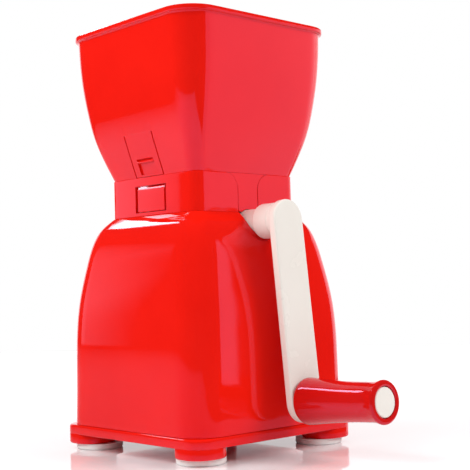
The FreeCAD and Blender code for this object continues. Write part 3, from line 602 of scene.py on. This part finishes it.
PLATE_LOW, PLATE_TOP, PLATE_HALF, PLATE_CORNER = 10.0, 16.0, 68.0, 12.5
RIB_HALF, RIB_CORNER = 63.7, 17.2
FOOT_HALF, PAD_REACH = 14.35, 50.5


def rounded_rows(centre, half, corner, profile, corner_cells=12, side_cells=8):
    """A rounded square block about a centre: profile gives (inset, height) rows between two poles."""
    inset, height = np.array(profile, float).T
    half_rows = np.maximum(half - inset, 1e-4)
    corner_rows = np.maximum(corner - inset, half_rows * corner / half)
    corner_rows = np.minimum(corner_rows, half_rows)
    grid, first = square_loop(half_rows, corner_rows, height, corner_cells, side_cells)
    grid[..., 0] += centre[0]
    grid[..., 1] += centre[1]
    return grid


def plate_surface():
    """The base plate: a shallow tray with a softly rounded upper edge and a tighter lower one."""
    profile = [(PLATE_HALF, PLATE_LOW), (20, PLATE_LOW), (0.5, PLATE_LOW)]
    profile += [(0.5 - y, PLATE_LOW + 0.5 + z) for y, z in arc_points((0, 0), 0.5, -90, 0, 4)[1:]]
    profile += [(1.5 - y, PLATE_TOP - 1.5 + z) for y, z in arc_points((0, 0), 1.5, 0, 90, 7)]
    profile += [(4.2, PLATE_TOP), (4.5, PLATE_TOP - 2.4), (20, PLATE_TOP - 2.5),
                (PLATE_HALF, PLATE_TOP - 2.5)]
    return closed_rows(rounded_rows((0, 0), PLATE_HALF, PLATE_CORNER, profile, 14, 24))


def rib_surface():
    """The rib that centres the housing: a low rounded square wall standing in the plate."""
    profile = [(0, PLATE_TOP - 2.6), (0, PLATE_TOP + 4.0), (0.4, PLATE_TOP + 4.4), (1.6, PLATE_TOP + 4.4),
               (2.0, PLATE_TOP + 4.0), (2.0, PLATE_TOP - 2.6), (0, PLATE_TOP - 2.6)]
    return closed_rows(rounded_rows((0, 0), RIB_HALF, RIB_CORNER, profile, 14, 24))


def foot_surface(x_side, y_side):
    """A foot block: a rounded square with the plate's own corner radius and a soft lower edge."""
    profile = [(FOOT_HALF, 3.82), (6, 3.82), (1.2, 3.82)]
    profile += [(1.2 - y, 5.02 + z) for y, z in arc_points((0, 0), 1.2, -90, 0, 5)[1:]]
    profile += [(0, 9.9), (0.2, PLATE_LOW + 0.3), (FOOT_HALF, PLATE_LOW + 0.4)]
    reach = PLATE_HALF - FOOT_HALF
    centre = (x_side * reach, y_side * reach)
    return closed_rows(rounded_rows(centre, FOOT_HALF, PLATE_CORNER, profile, 12, 4))


def pad_surface(x, y):
    """A round pad with a turned lower edge and a fine groove above it."""
    profile = [(0, 0), (9, 0), (13.6, 0)]
    profile += [(13.6 + u, 1.3 + v) for u, v in arc_points((0, 0), 1.3, -90, 0, 6)[1:]]
    profile += [(14.9, 2.7), (14.7, 2.95), (14.7, 3.2), (14.9, 3.4), (14.9, 3.78), (0, 3.8)]
    radius, height = np.array(profile).T
    angle = np.arange(72) * 2 * math.pi / 72
    grid = np.empty((len(profile), 72, 3))
    grid[..., 0] = x + radius[:, None] * np.cos(angle)
    grid[..., 1] = y + radius[:, None] * np.sin(angle)
    grid[..., 2] = height[:, None]
    return closed_rows(grid)


CORNERS = [(1, -1), (1, 1), (-1, 1), (-1, -1)]
tray_parts = [plate_surface(), rib_surface()] + [foot_surface(x, y) for x, y in CORNERS]
make_piece("base_tray_shell", joined(*tray_parts), "base", RED, ["base_tray"])
for number, (x, y) in enumerate(CORNERS, start=1):
    make_piece("pad_%d" % number, pad_surface(x * PAD_REACH, y * PAD_REACH), "base", PAD,
               ["foot_pad_%d" % number])


# ---------------------------------------------------------------- crank and grip

LEAN, TURN = math.radians(2.8), math.radians(3.0)
ARM_FACE, ARM_THICK, ARM_LENGTH = 73.4, 5.4, 110.0
ARM_TOP, ARM_FOOT, ARM_EDGE = 12.2, 12.9, 1.3
HUB_RADIUS, HUB_START = 10.9, 56.4
GRIP_END = ARM_THICK + 60.3


def leaned(points):
    """Points from the arm's own frame (crank axis at the origin, arm along -Z) to their place."""
    c, s = math.cos(-LEAN), math.sin(-LEAN)
    tip = np.array([[c, 0, s], [0, 1, 0], [-s, 0, c]])
    c, s = math.cos(TURN), math.sin(TURN)
    swing = np.array([[1, 0, 0], [0, c, -s], [0, s, c]])
    return points @ (swing @ tip).T + np.array([ARM_FACE, 0, AXIS_HEIGHT])


def arm_surface():
    """The arm: a link outline of two end arcs and their tangents, filled towards its centre line.

    Each row is the outline drawn towards the centre line by a share, at a depth through the
    thickness, so the long edges get a rounding and the faces stay flat."""
    slope = math.asin((ARM_FOOT - ARM_TOP) / ARM_LENGTH)
    top = np.linspace(slope, math.pi - slope, 33)
    foot = np.linspace(math.pi - slope, 2 * math.pi + slope, 33)
    side = np.linspace(0, 1, 25)[1:-1]
    y = [ARM_TOP * np.cos(top)]
    z = [ARM_TOP * np.sin(top)]
    y_foot, z_foot = ARM_FOOT * np.cos(foot), ARM_FOOT * np.sin(foot) - ARM_LENGTH
    y += [y[0][-1] + (y_foot[0] - y[0][-1]) * side, y_foot, y_foot[-1] + (y[0][0] - y_foot[-1]) * side]
    z += [z[0][-1] + (z_foot[0] - z[0][-1]) * side, z_foot, z_foot[-1] + (z[0][0] - z_foot[-1]) * side]
    y, z = np.concatenate(y), np.concatenate(z)
    spine = np.clip(z, -ARM_LENGTH, 0)
    reach = np.hypot(y, z - spine)
    rows = [(None, ARM_THICK), (6.0, ARM_THICK)]
    rows += [(ARM_EDGE - math.cos(t) * ARM_EDGE, ARM_THICK - ARM_EDGE + math.sin(t) * ARM_EDGE)
             for t in np.linspace(math.pi / 2, 0, 7)]
    rows += [(0.9 - math.cos(t) * 0.9, 0.9 - math.sin(t) * 0.9) for t in np.linspace(0, math.pi / 2, 6)]
    rows += [(6.0, 0.0), (None, 0.0)]
    grid = np.empty((len(rows), len(y), 3))
    for row, (inset, depth) in enumerate(rows):
        share = np.zeros_like(reach) if inset is None else (reach - inset) / reach
        grid[row, :, 0] = depth
        grid[row, :, 1] = y * share
        grid[row, :, 2] = spine + (z - spine) * share
    points, faces = closed_rows(grid)
    return leaned(points), faces


def hub_surface():
    """The hub: a short round boss with a domed inner end and a fine step where it meets the arm."""
    radius, start = HUB_RADIUS, HUB_START
    profile = [(ARM_FACE + 2.5, 0), (ARM_FACE + 2.5, radius), (70.2, radius), (70.0, radius - 0.25),
               (69.6, radius - 0.25), (69.4, radius), (start + 2.6, radius)]
    profile += [(start + 2.6 - 2.6 * math.sin(t), radius - 2.6 + 2.6 * math.cos(t))
                for t in np.linspace(0, math.pi / 2, 8)[1:]]
    profile += [(start, SHAFT_RADIUS), (50.0, SHAFT_RADIUS), (50.0, 0)]
    grid = turned_grid(profile)
    grid[..., 2] += AXIS_HEIGHT
    return closed_rows(grid)


def on_grip_axis(grid):
    """A grid turned about X, moved to the arm's foot and leaned with the arm."""
    points, faces = closed_rows(grid)
    return leaned(points - np.array([0, 0, ARM_LENGTH])), faces


def grip_surface():
    """The grip: its radius falls smoothly from the arm to a waist, then flares into an end ring."""
    start, finish = ARM_THICK + 0.9, GRIP_END
    along = np.linspace(start + 2.0, finish - 9.0, 18)
    waist = [(start + 2.0, 14.15), (start + 18, 12.7), (start + 36, 11.7), (finish - 9, 11.5)]
    body = smooth_through(waist, along)
    profile = [(finish - 3.0, 4.6), (finish - 3.0, 9.05), (finish - 1.0, 9.05), (finish - 0.35, 9.15),
               (finish, 9.6), (finish, 11.2)]
    profile += [(finish - 1.5 + 1.5 * math.sin(t), 11.1 + 1.5 * math.cos(t))
                for t in np.linspace(math.pi / 2, -0.3, 8)[1:]]
    profile += [(finish - 3.2, 12.2), (finish - 5.0, 11.85), (finish - 7.0, 11.6)]
    profile += list(zip(along[::-1], body[::-1]))
    profile += [(start + 1.0, 14.05), (start + 0.3, 13.6), (start, 12.9), (start, 4.6), (finish - 3.0, 4.6)]
    return on_grip_axis(turned_grid(profile))


def cap_surface():
    """The end cap: a disc with a soft edge, very slightly crowned."""
    start, finish = GRIP_END - 2.3, GRIP_END - 0.2
    profile = [(finish, 0), (finish - 0.05, 4), (finish - 0.2, 7.4)]
    profile += [(finish - 1.0 + 0.8 * math.sin(t), 7.8 + 0.9 * math.cos(t)) for t in np.linspace(1.4, 0, 6)]
    profile += [(start, 8.7), (start, 0)]
    return on_grip_axis(turned_grid(profile))


make_piece("crank_arm_moulding", joined(arm_surface(), hub_surface()), "crank", IVORY,
           ["crank_arm"])
# The grip takes the darker red, which is painted shade.
make_piece("grip", grip_surface(), "grip", RED_WITH_PAINTED_SHADE, ["grip_sleeve"])
make_piece("grip_cap", cap_surface(), "crank", IVORY, ["grip_end_cap"])


# ---------------------------------------------------------------- CAD nodes that stay

NODE_FINISH = {"drive_shaft": IVORY, "grip_pin": IVORY, "barrel_trough": NYLON, "feed_throat": NYLON,
               "shaft_bush": NYLON, "thrust_washer": NYLON, "grip_washer": NYLON, "feed_screw": NYLON,
               "mincing_plate": STEEL, "cross_knife": STEEL}
for node, material in NODE_FINISH.items():
    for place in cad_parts[node].material_slots:
        place.material = material


# ---------------------------------------------------------------- floor, light and camera

FLOOR_TURN = math.radians(217.7)
FLOOR_NEAR, FLOOR_FAR, FLOOR_WIDE = -0.3, 2.1, 1.0
MIDDLE = (0, 0, 0.14)


def add_floor():
    """A white table top, a rectangle turned so that the gloss mirrors its far edge on the left."""
    along = np.array([math.cos(FLOOR_TURN), math.sin(FLOOR_TURN)])
    across = np.array([-along[1], along[0]])
    corners = [along * a + across * b for a, b in [(FLOOR_NEAR, -FLOOR_WIDE), (FLOOR_FAR, -FLOOR_WIDE),
                                                   (FLOOR_FAR, FLOOR_WIDE), (FLOOR_NEAR, FLOOR_WIDE)]]
    mesh = bpy.data.meshes.new("floor")
    mesh.from_pydata([(x, y, 0) for x, y in corners], [], [(0, 1, 2, 3)])
    material, shader = new_material("white floor", (0.93, 0.92, 0.93), 0.1, 0.25)
    vary(material, shader, "Roughness", add_noise(material, 3), 0.03, 0.06)
    mesh.materials.append(material)
    floor = bpy.data.objects.new("floor", mesh)
    bpy.context.scene.collection.objects.link(floor)


def add_card(name, centre, columns, rows, only=()):
    """A glowing card that only the gloss sees, bent round a centre, in metres and degrees.

    Columns are (azimuth, brightness), rows are (distance, height, brightness, turn), and the
    brightness runs smoothly from one to the next. A card can be kept to the pieces named."""
    turn = np.radians([[azimuth + row[3] for azimuth, _ in columns] for row in rows])
    distance = np.array([row[0] for row in rows])[:, None]
    height = np.array([row[1] for row in rows])[:, None] + np.zeros_like(turn)
    spots = np.stack([centre[0] + distance * np.cos(turn), centre[1] + distance * np.sin(turn), height],
                     axis=-1)
    glow = np.outer([row[2] for row in rows], [brightness for _, brightness in columns])
    index = np.arange(glow.size).reshape(glow.shape)
    mesh = bpy.data.meshes.new(name)
    mesh.from_pydata(spots.reshape(-1, 3).tolist(), [], grid_faces(index, around=False).tolist())
    mesh.attributes.new("glow", "FLOAT", "POINT").data.foreach_set("value", glow.ravel())
    material = bpy.data.materials.new(name)
    material.use_nodes = True
    tree = material.node_tree
    tree.nodes.clear()
    level = tree.nodes.new("ShaderNodeAttribute")
    level.attribute_name = "glow"
    shade = tree.nodes.new("ShaderNodeEmission")
    out = tree.nodes.new("ShaderNodeOutputMaterial")
    tree.links.new(level.outputs["Fac"], shade.inputs["Strength"])
    clear = tree.nodes.new("ShaderNodeBsdfTransparent")
    both = tree.nodes.new("ShaderNodeAddShader")
    tree.links.new(shade.outputs[0], both.inputs[0])
    tree.links.new(clear.outputs[0], both.inputs[1])
    tree.links.new(both.outputs[0], out.inputs["Surface"])
    mesh.materials.append(material)
    card = bpy.data.objects.new(name, mesh)
    bpy.context.scene.collection.objects.link(card)
    card.visible_camera = card.visible_diffuse = card.visible_shadow = False
    if only:
        group = bpy.data.collections.new(name)
        for piece in only:
            group.objects.link(bpy.data.objects[piece])
        card.light_linking.receiver_collection = group
        card.light_linking.blocker_collection = group


def add_fill(name, place, aim, size, strength):
    """A soft rectangular light at a place, facing the aim point, in metres, that the gloss
    doesn't mirror."""
    out = np.array(place, float) - np.array(aim, float)
    out /= np.linalg.norm(out)
    light = bpy.data.lights.new(name, "AREA")
    light.shape = "RECTANGLE"
    light.size, light.size_y = size
    light.energy = strength * size[0] * size[1] * math.pi
    lamp = bpy.data.objects.new(name, light)
    side = np.cross([0, 0, 1], out)
    side /= np.linalg.norm(side)
    matrix = np.eye(4)
    matrix[:3, :] = np.column_stack([side, np.cross(out, side), out, place])
    lamp.matrix_world = mathutils.Matrix(matrix.tolist())
    lamp.visible_camera = lamp.visible_glossy = False
    bpy.context.scene.collection.objects.link(lamp)


def toward(azimuth, elevation, distance):
    """A point at a distance from the object's middle, turned from +X towards +Y and up, in degrees."""
    turn, rise = math.radians(azimuth), math.radians(elevation)
    out = np.array([math.cos(rise) * math.cos(turn), math.cos(rise) * math.sin(turn), math.sin(rise)])
    return np.array(MIDDLE) + out * distance


def add_world():
    """White behind the object, soft light all round, and dark to the gloss."""
    world = bpy.data.worlds.new("studio")
    bpy.context.scene.world = world
    world.use_nodes = True
    tree = world.node_tree
    tree.nodes.clear()
    rays = tree.nodes.new("ShaderNodeLightPath")
    out = tree.nodes.new("ShaderNodeOutputWorld")
    shades = []
    for colour, strength in [((1, 1, 1, 1), 0.55), ((1.0, 0.8, 1.0, 1), 0.05), ((1, 1, 1, 1), 1.0)]:
        shade = tree.nodes.new("ShaderNodeBackground")
        shade.inputs["Color"].default_value = colour
        shade.inputs["Strength"].default_value = strength
        shades.append(shade.outputs[0])
    result = shades[0]
    for ray, shade in [("Is Glossy Ray", shades[1]), ("Is Camera Ray", shades[2])]:
        mix = tree.nodes.new("ShaderNodeMixShader")
        tree.links.new(rays.outputs[ray], mix.inputs[0])
        tree.links.new(result, mix.inputs[1])
        tree.links.new(shade, mix.inputs[2])
        result = mix.outputs[0]
    tree.links.new(result, out.inputs["Surface"])


def add_camera():
    """A long lens, level with the middle of the object and turned a little up."""
    azimuth, distance, height = math.radians(48.8), 695.25, 103.4
    yaw, pitch, roll = math.radians(1.714), math.radians(2.714), math.radians(-1.606)
    ahead = np.array([-math.sin(azimuth - yaw), math.cos(azimuth - yaw), 0])
    right = np.array([math.cos(azimuth - yaw), math.sin(azimuth - yaw), 0])
    up = np.array([0, 0, 1.0])
    look = ahead * math.cos(pitch) + up * math.sin(pitch)
    top = -ahead * math.sin(pitch) + up * math.cos(pitch)
    side = right * math.cos(roll) + top * math.sin(roll)
    top = -right * math.sin(roll) + top * math.cos(roll)
    lens = bpy.data.cameras.new("camera")
    lens.sensor_width = 36.0
    lens.lens = 80.87
    camera = bpy.data.objects.new("camera", lens)
    matrix = np.eye(4)
    matrix[:3, 0], matrix[:3, 1], matrix[:3, 2] = side, top, -look
    matrix[:3, 3] = np.array([distance * math.sin(azimuth), -distance * math.cos(azimuth), height]) * MM
    camera.matrix_world = mathutils.Matrix(matrix.tolist())
    bpy.context.scene.collection.objects.link(camera)
    bpy.context.scene.camera = camera


add_floor()
add_world()
add_fill("left fill", toward(-112, 40, 1.5), MIDDLE, (1.0, 0.8), 6.2)
add_fill("crank side fill", toward(30, 35, 1.5), MIDDLE, (0.8, 0.8), 6.0)
add_card("shoulder softbox", (0, -0.045), [(162, 0), (165, 14), (184, 14), (188, 0)],
         [(1.4, 1.12, 0, 0), (1.4, 1.16, 1, 0), (1.4, 1.334, 1, 0), (1.4, 1.372, 0, 0)])
add_card("grip light", (0.11, 0), [(195, 0), (197, 12), (209, 12), (211, 0)],
         [(1.4, 1.17, 0, 0), (1.4, 1.22, 1, 0), (1.4, 1.58, 1, 0), (1.4, 1.63, 0, 0)], only=("grip",))
add_card("left card", (0, -0.066), [(208, 1.3), (213, 1.0), (217.5, 0.0)],
         [(2.2, 0.02, 0.8, 0), (2.2, 0.35, 1, 0), (2.2, 0.7, 0.6, 0), (2.2, 1.1, 0, 0)], only=("bell_shell",))
add_card("bell strip", (0.066, -0.04), [(37.8, 0), (38.3, 1.1), (43.2, 1.1), (43.7, 0)],
         [(0.42, 0.011, 1, 0), (0.42, 0.09, 1, 0), (0.42, 0.202, 1, 1.6), (0.42, 0.34, 1, 5.8),
          (0.42, 0.375, 0, 6.5)], only=("bell_shell",))
add_card("hopper card", (0.062, 0), [(5, 0.9), (45, 1.05), (80, 1.7)],
         [(0.4, -0.4, 1, 0), (0.4, 0.236, 1, 0), (0.4, 0.36, 1, 0)], only=("hopper",))
add_card("collar card", (0.044, 0), [(20, 0.9), (43, 1.0), (80, 0.9)],
         [(0.5, 0.1, 1, 0), (0.5, 0.3, 1, 0)], only=("neck_collar_shell", "hopper_slot_key"))
add_card("left collar card", (0, -0.044), [(200, 1.6), (214, 1.4), (222, 0.5)],
         [(0.5, 0.1, 1, 0), (0.5, 0.3, 1, 0)], only=("neck_collar_shell", "snap_tongue_front"))
add_card("tongue light", (0, -0.045), [(150, 8), (215, 8)], [(1.4, 0.75, 1, 0), (1.4, 1.75, 1, 0)],
         only=("snap_tongue_front",))
add_card("back card", (0, 0), [(azimuth, 1.2) for azimuth in range(75, 181, 7)],
         [(1.2, -0.05, 1, 0), (1.2, 0.6, 1, 0)])
add_camera()
bpy.context.scene.view_settings.view_transform = "Standard"
